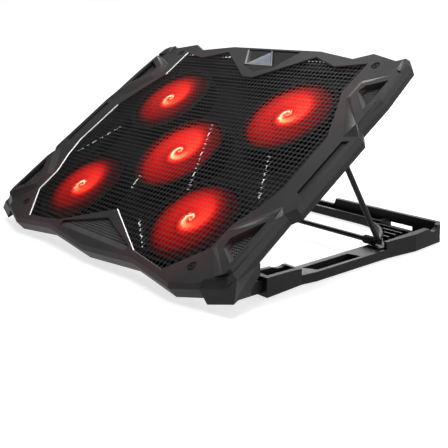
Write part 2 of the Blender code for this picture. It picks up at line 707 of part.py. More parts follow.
def build():
    for old in list(bpy.data.objects):
        bpy.data.objects.remove(old)
    shell = material("bezel_plastic", (0.035, 0.035, 0.038), 0.45)
    cover = material("cover_plastic", (0.02, 0.02, 0.021), 0.55)
    base_plastic = material("base_plastic", (0.045, 0.045, 0.047), 0.5)
    sheet = material("mesh_steel", (0.06, 0.06, 0.062), 0.4, 0.7)
    gloss = material("gloss_black", (0.008, 0.008, 0.009), 0.12)
    chrome = material("bright_chrome", (0.75, 0.76, 0.78), 0.15, 1.0)
    lens = material("lens", (0.62, 0.72, 0.86), 0.08)
    fan_black = material("fan_frame_plastic", (0.015, 0.015, 0.016), 0.4)
    fan_red = material("lit_rotor", (0.5, 0.02, 0.015), 0.3, glow=(1.0, 0.05, 0.02))
    steel = material("black_wire", (0.03, 0.03, 0.032), 0.35, 0.8)
    zinc = material("zinc_steel", (0.45, 0.45, 0.47), 0.35, 1.0)
    rubber = material("rubber", (0.02, 0.02, 0.02), 0.85)
    board = material("board_green", (0.02, 0.11, 0.05), 0.5)

    hinge = empty("deck_hinge", (0, HINGE_Y, HINGE_Z), TILT)
    deck_origin = (0, -HINGE_V, -HINGE_W)
    deck_parts = [deck_bezel(shell), bottom_cover(cover)]
    deck_parts.append(mesh_panel("main_mesh", both_halves(FIELD_HALF), 4.5, sheet,
                                 -FIELD_LIP - 0.3, 0.6))
    deck_parts.append(mesh_panel("front_window_mesh", FRONT_WINDOW, 1.2, sheet))
    for corner, end, reflect in window_sites():
        deck_parts.append(mesh_panel("side_mesh_" + corner, reflect(SIDE_WINDOW[end]), 1.2, sheet))
    deck_parts += badge(gloss, chrome, lens)
    deck_parts += electrics(board, zinc, gloss)
    for corner, (u, v) in screw_sites().items():
        deck_parts.append(deck_screw("deck_screw_" + corner, u, v, steel))
    for side, sx in SIDES.items():
        deck_parts.append(bail_clip("bail_clip_" + side, sx, cover))
    for part in deck_parts:
        place(part, hinge, deck_origin)
    place(switch_knob(gloss), hinge, (0, SWITCH_V - 2 - HINGE_V, -8.8 - HINGE_W))
    fans(hinge, fan_black, fan_red)

    pivot = empty("bail_pivot", (0, BAIL_V - HINGE_V, BAIL_W - HINGE_W), BAIL_LEAN - TILT, hinge)
    place(bail(steel), pivot)
    for side, sx in SIDES.items():
        place(foot_roller("foot_roller_" + side, sx, rubber), pivot, (0, 0, -BAIL_LENGTH))

    ground = empty("base_ground", (0, HINGE_Y, 0), 0)
    place(base_frame(base_plastic), ground)
    for corner, (x, s) in pad_sites().items():
        pad = prism("rubber_pad_" + corner, rectangle(x - 5, s - 9, x + 5, s + 9), 0, PAD_H + 0.9, rubber)
        place(pad, ground)
    for side, sx in SIDES.items():
        pin = rod("hinge_pin_" + side, *sorted((sx * LUGS[0][0], sx * LUGS[1][1])), PIN_R, 16, 0,
                  HINGE_Z, zinc)
        place(pin, ground)


build()
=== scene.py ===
"""Looks of the laptop cooling pad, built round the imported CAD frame. Lengths in metres."""
import json
import math

import bmesh
import bpy
from mathutils import Matrix, Vector
from mathutils.geometry import delaunay_2d_cdt


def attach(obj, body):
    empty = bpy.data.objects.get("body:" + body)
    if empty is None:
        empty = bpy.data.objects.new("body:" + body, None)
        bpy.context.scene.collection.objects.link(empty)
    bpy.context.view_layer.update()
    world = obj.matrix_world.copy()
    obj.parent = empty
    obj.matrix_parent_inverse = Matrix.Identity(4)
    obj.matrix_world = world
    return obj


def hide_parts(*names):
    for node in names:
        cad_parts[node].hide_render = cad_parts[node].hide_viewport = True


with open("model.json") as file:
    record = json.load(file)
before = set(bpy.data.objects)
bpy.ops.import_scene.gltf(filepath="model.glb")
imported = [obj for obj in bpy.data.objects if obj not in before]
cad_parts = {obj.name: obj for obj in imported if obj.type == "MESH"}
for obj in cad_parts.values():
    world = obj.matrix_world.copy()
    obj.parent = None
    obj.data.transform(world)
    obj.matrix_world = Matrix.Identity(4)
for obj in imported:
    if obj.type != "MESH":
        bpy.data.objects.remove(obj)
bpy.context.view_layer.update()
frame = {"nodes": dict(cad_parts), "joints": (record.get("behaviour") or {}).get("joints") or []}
NODES = frame["nodes"]
JOINTS = {j["name"]: j for j in frame["joints"]}
MM = 0.001

# ---- the deck's own frame: x to the right, y along the deck to the back, z out of it ----------
NORMAL = Vector(JOINTS["fan_spin_centre"]["axis"]).normalized()
ALONG = NORMAL.cross(Vector((1, 0, 0)))
FAN_AXIS_DEPTH = 14 * MM    # the fan joints' points lie this far under the deck's top face
DECK_ORIGIN = Vector(JOINTS["fan_spin_centre"]["pos_m"]) + NORMAL * FAN_AXIS_DEPTH
DECK = Matrix((
    (1, ALONG.x, NORMAL.x, DECK_ORIGIN.x),
    (0, ALONG.y, NORMAL.y, DECK_ORIGIN.y),
    (0, ALONG.z, NORMAL.z, DECK_ORIGIN.z),
    (0, 0, 0, 1),
))
FANS = ("centre", "front_left", "front_right", "back_left", "back_right")


def fan_spot(name):
    """A fan's centre in the deck's frame."""
    return DECK.inverted() @ Vector(JOINTS["fan_spin_" + name]["pos_m"])


# ---- camera -----------------------------------------------------------------------------------
CAMERA_SPOT = Vector((0.6468, -0.4941, 0.2355))
CAMERA_RIGHT = Vector((0.63325, 0.77362, -0.02252))
CAMERA_DOWN = Vector((0.16018, -0.15947, -0.97412))
CAMERA_FORWARD = Vector((-0.75719, 0.61326, -0.22491))
LENS_MM, SENSOR_MM = 66.4, 36.0
LENS_SHIFT = (-0.010, -0.086)
CAMERA_REACH = 100.0        # farther than the floor's far edge


def make_camera():
    data = bpy.data.cameras.new("camera")
    cam = bpy.data.objects.new("camera", data)
    bpy.context.scene.collection.objects.link(cam)
    data.lens, data.sensor_width = LENS_MM, SENSOR_MM
    data.shift_x, data.shift_y = LENS_SHIFT
    data.clip_end = CAMERA_REACH
    basis = Matrix((CAMERA_RIGHT, -CAMERA_DOWN, -CAMERA_FORWARD)).transposed()
    cam.matrix_world = Matrix.Translation(CAMERA_SPOT) @ basis.to_4x4()
    bpy.context.scene.camera = cam


# ---- material helpers ---------------------------------------------------------------------------
class Nodes:
    """Small builder for a material's node tree."""

    def __init__(self, name):
        self.material = bpy.data.materials.new(name)
        self.material.use_nodes = True
        self.tree = self.material.node_tree
        self.shader = self.tree.nodes["Principled BSDF"]

    def add(self, kind, **settings):
        node = self.tree.nodes.new(kind)
        for key, value in settings.items():
            if key in node.inputs:
                node.inputs[key].default_value = value
            else:
                setattr(node, key, value)
        return node

    def link(self, source, target):
        self.tree.links.new(source, target)

    def set(self, **values):
        """Set shader sockets, named with underscores for spaces."""
        for key, value in values.items():
            self.shader.inputs[key.replace("_", " ")].default_value = value

    def place(self):
        return self.add("ShaderNodeTexCoord").outputs["Object"]

    def noise(self, scale, detail=2.0, roughness=0.5):
        node = self.add("ShaderNodeTexNoise", Scale=scale, Detail=detail, Roughness=roughness)
        self.link(self.place(), node.inputs["Vector"])
        return node.outputs["Fac"]

    def ramp(self, fac, stops):
        node = self.add("ShaderNodeValToRGB")
        elements = node.color_ramp.elements
        while len(elements) < len(stops):
            elements.new(0.5)
        for element, (place, colour) in zip(elements, stops):
            element.position = place
            element.color = (*colour, 1.0)
        self.link(fac, node.inputs["Fac"])
        return node.outputs["Color"]

    def math(self, operation, a, b=None, c=None, clamp=False):
        node = self.add("ShaderNodeMath", operation=operation, use_clamp=clamp)
        for slot, value in zip(node.inputs, (a, b, c)):
            if value is None:
                continue
            if isinstance(value, (int, float)):
                slot.default_value = value
            else:
                self.link(value, slot)
        return node.outputs[0]

    def bump(self, height, distance, strength=1.0):
        node = self.add("ShaderNodeBump", Distance=distance, Strength=strength)
        self.link(height, node.inputs["Height"])
        self.link(node.outputs["Normal"], self.shader.inputs["Normal"])


# ---- materials ----------------------------------------------------------------------------------
PLASTIC_GLOSS = 0.3         # specular level of the plastics
MESH_GLOSS = 0.3            # of the main sheet's coat
WIRE_GLOSS = 0.3            # of the prop's coat
BROAD_MOTTLE = 35.0         # how many patches a metre, in a plastic's colour
COAT_PEEL, COAT_MOTTLE = 900.0, 60.0
GRAIN = 0.06 * MM           # depth of a moulding's spark-eroded grain
POLISHED_GRAIN = 0.01 * MM  # and of a glossy one's
PEEL_DEPTH = 0.05 * MM


def grey(value):
    return (value, value, value)


def moulded_plastic(name, dark, light, rough, grain=GRAIN, scale=2600.0):
    """Moulded plastic: fine grain, slight mottling in colour and sheen."""
    n = Nodes(name)
    n.set(Specular_IOR_Level=PLASTIC_GLOSS)
    fine = n.noise(scale, 2.0)
    broad = n.noise(BROAD_MOTTLE, 4.0, 0.6)
    n.link(n.ramp(broad, [(0.3, dark), (0.7, light)]), n.shader.inputs["Base Color"])
    shine = n.ramp(n.math("ADD", n.math("MULTIPLY", fine, 0.5), n.math("MULTIPLY", broad, 0.5)),
                   [(0.3, grey(rough - 0.06)), (0.7, grey(rough + 0.06))])
    n.link(shine, n.shader.inputs["Roughness"])
    n.bump(fine, grain, 0.6)
    return n


def coated_steel(name, dark, light, rough):
    """Coated or plated steel: soft orange peel, mottled in colour and sheen."""
    n = Nodes(name)
    peel = n.noise(COAT_PEEL, 3.0)
    broad = n.noise(COAT_MOTTLE, 3.0)
    n.link(n.ramp(broad, [(0.3, dark), (0.7, light)]), n.shader.inputs["Base Color"])
    shine = n.ramp(peel, [(0.3, grey(rough - 0.05)), (0.7, grey(rough + 0.08))])
    n.link(shine, n.shader.inputs["Roughness"])
    n.bump(peel, PEEL_DEPTH, 0.5)
    return n


# ---- the fans' red light ------------------------------------------------------------------------
ROTOR_HEAT, ROTOR_GLOW = 1.9, 0.1   # strength of the red light on the blades, and its least
MESH_PAINTED_GLOW = 1.7             # strength of the same light painted on the main sheet's webs as a glow
SPILL_LEVEL = 0.02          # and of its spill, painted on the bezel as a faint glow
SPILL_NEAR, SPILL_FAR = 40 * MM, 105 * MM
# the light's bright arm is a spiral through this radius at this angle, growing as it turns
ARM_RADIUS, ARM_ANGLE, ARM_GROWTH = 6 * MM, 2.88, 0.305
ARM_RISE = 0.28             # share of a turn over which the arm's leading edge brightens
ARM_SHARE, EVEN_SHARE = 0.62, 0.38  # of the light in the arm, and all round
LIGHT_REACH = {
    "centre": 51 * MM, "front_left": 38 * MM, "front_right": 41 * MM,
    "back_left": 41 * MM, "back_right": 48 * MM,
}
# it is centred on the fan at this depth under the deck's face, and leans to the front right above that
LIGHT_DEPTH, LIGHT_LEAN = 4 * MM, (1.7, -0.8)
# its brightness from the hub outwards, as shares of its reach
FADE = ((0.0, 0.9), (0.14, 1.0), (0.32, 0.66), (0.58, 0.42), (0.83, 0.22), (1.0, 0.0))
# its colour from dim to hot
EMBER = (
    (0.0, (0.12, 0.0, 0.0)), (0.2, (0.55, 0.0, 0.0)), (0.42, (1.0, 0.015, 0.01)),
    (0.66, (1.0, 0.06, 0.025)), (0.82, (1.0, 0.3, 0.12)), (1.0, (1.0, 0.9, 0.6)),
)


def deck_place(n):
    """Where a point of the surface lies on the deck, in the deck's own frame."""
    inward = DECK.inverted()
    local = n.add("ShaderNodeMapping", vector_type="POINT")
    n.link(n.place(), local.inputs["Vector"])
    local.inputs["Rotation"].default_value = inward.to_euler()
    local.inputs["Location"].default_value = inward.translation
    split = n.add("ShaderNodeSeparateXYZ")
    n.link(local.outputs["Vector"], split.inputs["Vector"])
    return split.outputs["X"], split.outputs["Y"], split.outputs["Z"]


def from_fan(n, x, y, fan):
    """Offsets and distance from a fan's axis."""
    spot = fan_spot(fan)
    dx, dy = n.math("SUBTRACT", x, spot.x), n.math("SUBTRACT", y, spot.y)
    radius = n.math("SQRT", n.math("ADD", n.math("MULTIPLY", dx, dx), n.math("MULTIPLY", dy, dy)))
    return dx, dy, radius


def spiral_heat(n, x, y, z, fan):
    """How hot the light is: fading outwards from the hub, strongest along the spiral arm."""
    above = n.math("ADD", z, LIGHT_DEPTH)
    x = n.math("MULTIPLY_ADD", above, -LIGHT_LEAN[0], x)
    y = n.math("MULTIPLY_ADD", above, -LIGHT_LEAN[1], y)
    dx, dy, radius = from_fan(n, x, y, fan)
    stretch = n.math("LOGARITHM", n.math("DIVIDE", radius, ARM_RADIUS), math.e)
    wound = n.math("DIVIDE", stretch, ARM_GROWTH)
    phase = n.math("SUBTRACT", n.math("SUBTRACT", n.math("ARCTAN2", dy, dx), wound), ARM_ANGLE)
    turn = n.math("FRACT", n.math("DIVIDE", phase, 2 * math.pi))
    fading = n.math("MULTIPLY_ADD", turn, -1 / (1 - ARM_RISE), 1.0)
    rising = n.math("MULTIPLY_ADD", turn, 1 / ARM_RISE, 1 - 1 / ARM_RISE)
    arm = n.math("MAXIMUM", fading, rising)
    outward = n.math("DIVIDE", radius, LIGHT_REACH[fan], clamp=True)
    level = n.ramp(outward, [(share, grey(value)) for share, value in FADE])
    return n.math("MULTIPLY", level, n.math("MULTIPLY_ADD", arm, ARM_SHARE, EVEN_SHARE))


def mesh_coat_and_painted_glow():
    """The main sheet's coat, with the red light of the fans under it painted on as a glow."""
    n = coated_steel("mesh_coat_and_painted_glow", grey(0.007), grey(0.012), 0.4)
    n.set(Specular_IOR_Level=MESH_GLOSS)
    place = deck_place(n)
    heat = None
    for fan in FANS:
        one = spiral_heat(n, *place, fan)
        heat = one if heat is None else n.math("MAXIMUM", heat, one)
    # painted glow: the fans' red light is painted on the sheet's webs as emission
    n.link(n.ramp(heat, EMBER), n.shader.inputs["Emission Color"])
    n.link(n.math("MULTIPLY", heat, MESH_PAINTED_GLOW), n.shader.inputs["Emission Strength"])
    return n.material


def bezel_coat_and_painted_spill():
    """The bezel's plastic, with the fans' red light painted on as a faint glow next to the fans."""
    n = moulded_plastic("bezel_plastic_look", grey(0.020), grey(0.028), 0.38)
    x, y, _ = deck_place(n)
    spill = None
    for fan in FANS:
        radius = from_fan(n, x, y, fan)[2]
        near = n.add("ShaderNodeMapRange", interpolation_type="SMOOTHERSTEP")
        n.link(radius, near.inputs["Value"])
        near.inputs["From Min"].default_value = SPILL_FAR
        near.inputs["From Max"].default_value = SPILL_NEAR
        one = near.outputs["Result"]
        spill = one if spill is None else n.math("ADD", spill, one)
    # painted light: a faint red glow on the bezel near each fan
    n.link(n.math("MULTIPLY", spill, SPILL_LEVEL), n.shader.inputs["Emission Strength"])
    n.set(Emission_Color=(1.0, 0.12, 0.2, 1.0))
    return n.material


def lit_rotor(fan):
    """Dark red blades, lit from the hub, brightest along a spiral."""
    n = Nodes("rotor_look_" + fan)
    heat = spiral_heat(n, *deck_place(n), fan)
    n.link(n.ramp(heat, EMBER), n.shader.inputs["Emission Color"])
    glow = n.math("MULTIPLY_ADD", heat, ROTOR_HEAT, ROTOR_GLOW)
    n.link(glow, n.shader.inputs["Emission Strength"])
    n.set(Roughness=0.5, Specular_IOR_Level=0.1, Base_Color=(0.12, 0.004, 0.004, 1.0))
    return n.material


# ---- geometry helpers ---------------------------------------------------------------------------
WELD = 1e-6                 # vertices nearer than this are one
EDGE_WIDTH, EDGE_ANGLE, SHARP_ANGLE = 0.35 * MM, 14.0, 8.0
ROTOR_SHARP_ANGLE = 35.0
BASE_EDGE_WIDTH = 0.5 * MM
# heights and slopes, in the deck's frame, that tell the chamfer of the mesh opening from other faces, so
# that its faces turned right or back get a painted highlight
FIELD_CHAMFER_DEPTH, FIELD_CHAMFER_TOP = 1.2 * MM, 0.1 * MM
CHAMFER_SLOPE, CHAMFER_RIGHT, CHAMFER_BACK = (0.6, 0.8), 0.2, -0.2


def add_object(name, mesh, material, body, replaced=()):
    obj = bpy.data.objects.new(name, mesh)
    bpy.context.scene.collection.objects.link(obj)
    obj.data.materials.clear()
    obj.data.materials.append(material)
    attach(obj, body)
    if replaced:
        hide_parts(*replaced)
    return obj


def crisp_copy(node, material, body, width=EDGE_WIDTH):
    """The CAD solid again with its moulded edges rounded over."""
    bm = bmesh.new()
    bm.from_mesh(NODES[node].data)
    bmesh.ops.remove_doubles(bm, verts=bm.verts, dist=WELD)
    bmesh.ops.dissolve_limit(bm, angle_limit=math.radians(0.5), verts=bm.verts, edges=bm.edges)
    mesh = bpy.data.meshes.new(node + "_shell")
    bm.to_mesh(mesh)
    bm.free()
    obj = add_object(node + "_shell", mesh, material, body, (node,))
    round_over = obj.modifiers.new("edges", "BEVEL")
    round_over.width = width
    round_over.segments = 2
    round_over.limit_method = "ANGLE"
    round_over.angle_limit = math.radians(EDGE_ANGLE)
    round_over.harden_normals = True
    mesh.shade_smooth()
    mesh.set_sharp_from_angle(angle=math.radians(SHARP_ANGLE))
    return obj


def paint_field_edge_highlight(obj, painted_highlight):
    """Paint a highlight, the light grey material, on the mesh opening's chamfer where it faces right or
    back.
    """
    obj.data.materials.append(painted_highlight)
    turn, flat = DECK.to_3x3().inverted(), DECK.inverted()
    for face in obj.data.polygons:
        facing = turn @ face.normal
        heights = [(flat @ obj.data.vertices[k].co).z for k in face.vertices]
        sloped = CHAMFER_SLOPE[0] < facing.z < CHAMFER_SLOPE[1]
        turned = facing.x > CHAMFER_RIGHT and facing.y > CHAMFER_BACK
        shallow = min(heights) > -FIELD_CHAMFER_DEPTH and max(heights) < FIELD_CHAMFER_TOP
        # painted highlight: the chamfer faces turned towards the lamps get the light grey material
        if sloped and turned and shallow:
            face.material_index = 1


def node_outline(node):
    """A flat sheet node's outline in the deck's frame, and its lower and upper faces' heights."""
    flat = DECK.inverted()
    bm = bmesh.new()
    bm.from_mesh(NODES[node].data)
    bmesh.ops.remove_doubles(bm, verts=bm.verts, dist=WELD)
    bm.transform(flat)
    bm.normal_update()
    low, high = min(v.co.z for v in bm.verts), max(v.co.z for v in bm.verts)
    rim = {}
    for edge in bm.edges:
        tops = [abs(v.co.z - high) < 1e-5 for v in edge.verts]
        walls = [f for f in edge.link_faces if abs(f.normal.z) < 0.5]
        if all(tops) and walls:
            a, b = edge.verts
            rim.setdefault(a.index, []).append(b.index)
            rim.setdefault(b.index, []).append(a.index)
    where = {v.index: v.co.to_2d() for v in bm.verts}
    bm.free()
    start = min(rim)
    loop, before, here = [start], None, start
    while True:
        ahead = [k for k in rim[here] if k != before]
        before, here = here, ahead[0]
        if here == start:
            break
        loop.append(here)
    outline = [where[k] for k in loop]
    area = sum(a.x * b.y - b.x * a.y for a, b in zip(outline, outline[1:] + outline[:1]))
    return (outline if area > 0 else outline[::-1]), low, high


def inside_by(point, outline):
    """How deep a point lies inside an outline, negative outside."""
    inside, nearest = False, math.inf
    for a, b in zip(outline, outline[1:] + outline[:1]):
        edge = b - a
        t = max(0.0, min(1.0, (point - a).dot(edge) / edge.length_squared))
        nearest = min(nearest, (point - a - edge * t).length)
        if (a.y > point.y) != (b.y > point.y):
            if point.x < a.x + (point.y - a.y) / (b.y - a.y) * edge.x:
                inside = not inside
    return nearest if inside else -nearest


# ---- the perforated sheets ----------------------------------------------------------------------
HOLE_SIDES = 12
MAIN_PITCH, MAIN_HOLE = 5.05 * MM, 2.17 * MM        # spacing and radius of the main sheet's holes
FINE_PITCH, FINE_HOLE = 2.7 * MM, 1.0 * MM          # and of the small windows' sheets
SOLID_EDGE = 7 * MM         # unpunched front margin of the front window's sheet
LEAST_WEB = 0.3 * MM        # steel left between a hole and the sheet's outline
# pressed ridges across the main sheet, as pairs of points on the deck in millimetres
RIDGES = (
    ((121, 13), (152, -36)), ((-121, 13), (-152, -36)), ((14, 40), (66, -47)), ((-15, -43), (-9, -63)),
    ((38, -88), (74, -113)),
)
RIDGE_RISE, RIDGE_HALF_WIDTH = 0.6 * MM, 2.4 * MM
RIDGE_GLINT_BAND = 0.12 * MM        # how far down a ridge the painted glint on its crest reaches


def hole_ring(x, y, radius):
    """Points round a hole, turned by half a side."""
    step = 2 * math.pi / HOLE_SIDES
    return [Vector((x + radius * math.cos((k + 0.5) * step), y + radius * math.sin((k + 0.5) * step)))
            for k in range(HOLE_SIDES)]


def ridge_height(point):
    """How far the main sheet is pressed up at a point."""
    rise = 0.0
    for ends in RIDGES:
        a, b = (Vector(p) * MM for p in ends)
        edge = b - a
        t = max(0.0, min(1.0, (point - a).dot(edge) / edge.length_squared))
        away = (point - a - edge * t).length
        rise = max(rise, RIDGE_RISE * (1 - away / RIDGE_HALF_WIDTH))
    return rise


def around(cell, pitch, corners):
    """Corners of a cell of the grid, given as pairs of -1 and 1."""
    return [Vector(((cell[0] + a / 2) * pitch, (cell[1] + b / 2) * pitch)) for a, b in corners]


def grid_cells(outline, pitch, hole, solid):
    """Cells of the grid that lie wholly in the outline, and others whose holes do."""
    half = pitch / 2
    xs, ys = [p.x for p in outline], [p.y for p in outline]
    whole, partial = set(), []
    for i in range(math.floor(min(xs) / pitch), math.ceil(max(xs) / pitch) + 1):
        for j in range(math.floor(min(ys) / pitch), math.ceil(max(ys) / pitch) + 1):
            if j * pitch - half < min(ys) + solid:
                continue
            depth = inside_by(Vector((i * pitch, j * pitch)), outline)
            corners = around((i, j), pitch, ((-1, -1), (-1, 1), (1, -1), (1, 1)))
            if depth > half and all(inside_by(c, outline) > 1e-5 for c in corners):
                whole.add((i, j))
            elif depth > hole + LEAST_WEB:
                partial.append((i, j))
    return whole, partial


class FlatMesh:
    """Faces drawn at one height, which share the vertices at one place."""

    def __init__(self, height):
        self.bm, self.height, self.seen = bmesh.new(), height, {}

    def vert(self, p):
        key = (round(p[0] * 1e6), round(p[1] * 1e6))
        if key not in self.seen:
            self.seen[key] = self.bm.verts.new((p[0], p[1], self.height))
        return self.seen[key]

    def face(self, points):
        ring = list(dict.fromkeys(self.vert(p) for p in points))
        if len(ring) > 2 and not self.bm.faces.get(ring):
            self.bm.faces.new(ring)


def punched_cell(flat, cell, pitch, hole):
    """A square cell round its hole, in four corner faces and four side faces."""
    quarter = HOLE_SIDES // 4
    ring = hole_ring(cell[0] * pitch, cell[1] * pitch, hole)
    corner = around(cell, pitch, ((1, 1), (-1, 1), (-1, -1), (1, -1)))
    for q in range(4):
        part = ring[q * quarter:(q + 1) * quarter]
        flat.face([corner[q]] + part[::-1])
        flat.face([corner[q], corner[(q + 1) % 4], ring[((q + 1) * quarter) % HOLE_SIDES], part[-1]])


def margin(flat, outline, whole, partial, pitch, hole):
    """The strip between the whole cells and the outline, with the holes that still fit in it."""
    points, index = list(outline), {}
    edges = [(k, (k + 1) % len(outline)) for k in range(len(outline))]

    def number(p):
        key = (round(p.x * 1e6), round(p.y * 1e6))
        if key not in index:
            index[key] = len(points)
            points.append(p)
        return index[key]

    for i, j in whole:
        for di, dj, ends in ((1, 0, ((1, -1), (1, 1))), (0, 1, ((1, 1), (-1, 1))),
                             (-1, 0, ((-1, 1), (-1, -1))), (0, -1, ((-1, -1), (1, -1)))):
            if (i + di, j + dj) not in whole:
                edges.append(tuple(number(p) for p in around((i, j), pitch, ends)))
    for i, j in partial:
        first = len(points)
        points += hole_ring(i * pitch, j * pitch, hole)
        edges += [(first + k, first + (k + 1) % HOLE_SIDES) for k in range(HOLE_SIDES)]
    made, _, triangles, *_ = delaunay_2d_cdt(points, edges, [], 0, 1e-7)
    for triangle in triangles:
        centre = sum((made[k] for k in triangle), Vector((0, 0))) / len(triangle)
        cell = (round(centre.x / pitch), round(centre.y / pitch))
        if cell in whole or inside_by(centre, outline) < 0:
            continue
        if cell in partial and (centre - Vector(cell) * pitch).length < hole * 0.97:
            continue
        flat.face([made[k] for k in triangle])


def perforated(node, material, pitch, hole, solid=0.0):
    """The flat sheet node again, punched with a square grid of round holes."""
    outline, low, high = node_outline(node)
    whole, partial = grid_cells(outline, pitch, hole, solid)
    flat = FlatMesh(high)
    for cell in sorted(whole):
        punched_cell(flat, cell, pitch, hole)
    margin(flat, outline, whole, partial, pitch, hole)
    bm = flat.bm
    bmesh.ops.recalc_face_normals(bm, faces=bm.faces)
    bm.normal_update()
    if sum(f.normal.z for f in bm.faces) < 0:
        bmesh.ops.reverse_faces(bm, faces=bm.faces)
    grown = bmesh.ops.extrude_face_region(bm, geom=list(bm.faces), use_keep_orig=True)
    for v in grown["geom"]:
        if isinstance(v, bmesh.types.BMVert):
            v.co.z = low
    if node == "main_mesh":
        for v in bm.verts:
            v.co.z += ridge_height(v.co.to_2d())
    bmesh.ops.recalc_face_normals(bm, faces=bm.faces)
    bm.transform(DECK)
    mesh = bpy.data.meshes.new(node + "_punched")
    bm.to_mesh(mesh)
    bm.free()
    return add_object(node + "_punched", mesh, material, "deck", (node,))


def paint_ridge_glints(obj, painted_highlight):
    """Paint glints, the light grey material, on the main sheet along the crests of its ridges."""
    obj.data.materials.append(painted_highlight)
    flat = DECK.inverted()
    for face in obj.data.polygons:
        # painted glints: faces near a ridge's crest get the light grey material
        if ridge_height((flat @ face.center).to_2d()) > RIDGE_RISE - RIDGE_GLINT_BAND:
            face.material_index = 1


# ---- the rotors ---------------------------------------------------------------------------------
BLADES = 11
BLADE_OVERLAP = 1.5         # a blade's span as a share of the space for one
BLADE_PITCH = 2.6 * MM      # how much a blade's front edge lies under its rear edge
BLADE_SWEEP = 1.15          # radians by which a blade's tip lies round from its root
BLADE_HALF_THICKNESS = 0.45 * MM
BLADE_TOP_GAP = 0.9 * MM    # from the rotor's top down to a blade's middle surface
BLADE_CAMBER, BLADE_DROOP = 0.3 * MM, 0.3 * MM
BLADE_ROOT, BLADE_TIP = 1.0 * MM, 0.2 * MM      # sunk into the hub, and short of the CAD rotor's rim
BLADE_STEPS, BLADE_WIDTHS = 9, 5
HUB_RADIUS, HUB_ROUND, HUB_BORE, HUB_SIDES = 13 * MM, 0.8 * MM, 2 * MM, 32


def blade_row(index, share, reach, top):
    """Points across one blade at a share of its length."""
    radius = HUB_RADIUS - BLADE_ROOT + share * (reach - BLADE_TIP - HUB_RADIUS)
    swept = BLADE_SWEEP * math.log(radius / HUB_RADIUS) / math.log(reach / HUB_RADIUS)
    middle = 2 * math.pi * index / BLADES + swept
    span = 2 * math.pi / BLADES * BLADE_OVERLAP
    row = []
    for j in range(BLADE_WIDTHS + 1):
        t = j / BLADE_WIDTHS
        angle = middle + (t - 0.5) * span
        camber = 4 * t * (1 - t) * BLADE_CAMBER
        height = top - BLADE_TOP_GAP - (1 - t) * BLADE_PITCH + camber - share * BLADE_DROOP
        row.append((radius * math.cos(angle), radius * math.sin(angle), height))
    return row


def add_blade(bm, index, reach, top):
    last, edge = BLADE_STEPS, BLADE_WIDTHS
    verts = {}
    for side, rise in (("up", BLADE_HALF_THICKNESS), ("down", -BLADE_HALF_THICKNESS)):
        for i in range(last + 1):
            for j, p in enumerate(blade_row(index, i / last, reach, top)):
                verts[side, i, j] = bm.verts.new((p[0], p[1], p[2] + rise))
    for i in range(last):
        for j in range(edge):
            square = [(i, j), (i + 1, j), (i + 1, j + 1), (i, j + 1)]
            bm.faces.new([verts[("up",) + c] for c in square])
            bm.faces.new([verts[("down",) + c] for c in reversed(square)])
    rim = [(i, 0) for i in range(last + 1)] + [(last, j) for j in range(1, edge + 1)]
    rim += [(i, edge) for i in range(last - 1, -1, -1)] + [(0, j) for j in range(edge - 1, 0, -1)]
    for a, b in zip(rim, rim[1:] + rim[:1]):
        bm.faces.new([verts[("up",) + b], verts[("up",) + a], verts[("down",) + a], verts[("down",) + b]])


def add_hub(bm, low, top):
    profile = [(HUB_RADIUS, low), (HUB_RADIUS, top - HUB_ROUND), (HUB_RADIUS - HUB_ROUND, top),
               (HUB_BORE, top)]
    rings = []
    for k in range(HUB_SIDES):
        a = 2 * math.pi * k / HUB_SIDES
        rings.append([bm.verts.new((r * math.cos(a), r * math.sin(a), h)) for r, h in profile])
    for one, two in zip(rings, rings[1:] + rings[:1]):
        for i in range(len(profile) - 1):
            bm.faces.new([one[i], two[i], two[i + 1], one[i + 1]])
    bm.faces.new([ring[-1] for ring in rings])
    bm.faces.new([ring[0] for ring in reversed(rings)])


def spinning_blades(fan, material):
    """Rotor with long overlapping blades swept along the light's spiral."""
    node = "fan_rotor_" + fan
    centre = fan_spot(fan)
    points = [DECK.inverted() @ v.co for v in NODES[node].data.vertices]
    reach = max((p - centre).to_2d().length for p in points)
    top = max(p.z for p in points) - centre.z
    low = min(p.z for p in points) - centre.z
    bm = bmesh.new()
    for index in range(BLADES):
        add_blade(bm, index, reach, top)
    add_hub(bm, low, top)
    bmesh.ops.recalc_face_normals(bm, faces=bm.faces)
    bm.transform(DECK @ Matrix.Translation(centre))
    mesh = bpy.data.meshes.new(node + "_lit")
    bm.to_mesh(mesh)
    bm.free()
    mesh.shade_smooth()
    mesh.set_sharp_from_angle(angle=math.radians(ROTOR_SHARP_ANGLE))
    return add_object(node + "_lit", mesh, material, "rotor_" + fan, (node,))


# ---- stage ------------------------------------------------------------------------------------
# name, place and power in watts of the square lamps, which all face the pad
LAMPS = (
    ("left_high", (-1.0, 0.1, 1.0), 0.6),
    ("back_left", (-1.0, 1.0, 0.8), 8.0),
    ("back_high", (0.1, 0.9, 1.3), 15.0),
    ("back_right", (1.1, 1.0, 0.6), 4.0),
    ("right_side", (1.35, 0.1, 0.6), 3.0),
    ("overhead", (0.0, 0.0, 1.5), 17.0),
)
LAMP_SIZE = 0.7
# brightness of the surroundings by height, 0 straight down, 0.5 at the horizon and 1 straight up
SKY = ((0.44, 0.5), (0.49, 1.0), (0.56, 1.0), (0.65, 0.05))
# the floor's own light: this level nearer than SHADE_NEAR, rising to full beyond SHADE_FAR
SHADE_LEVEL, SHADE_NEAR, SHADE_FAR = 0.72, 0.3, 0.9
FLOOR_HALF_SIZE = 40.0


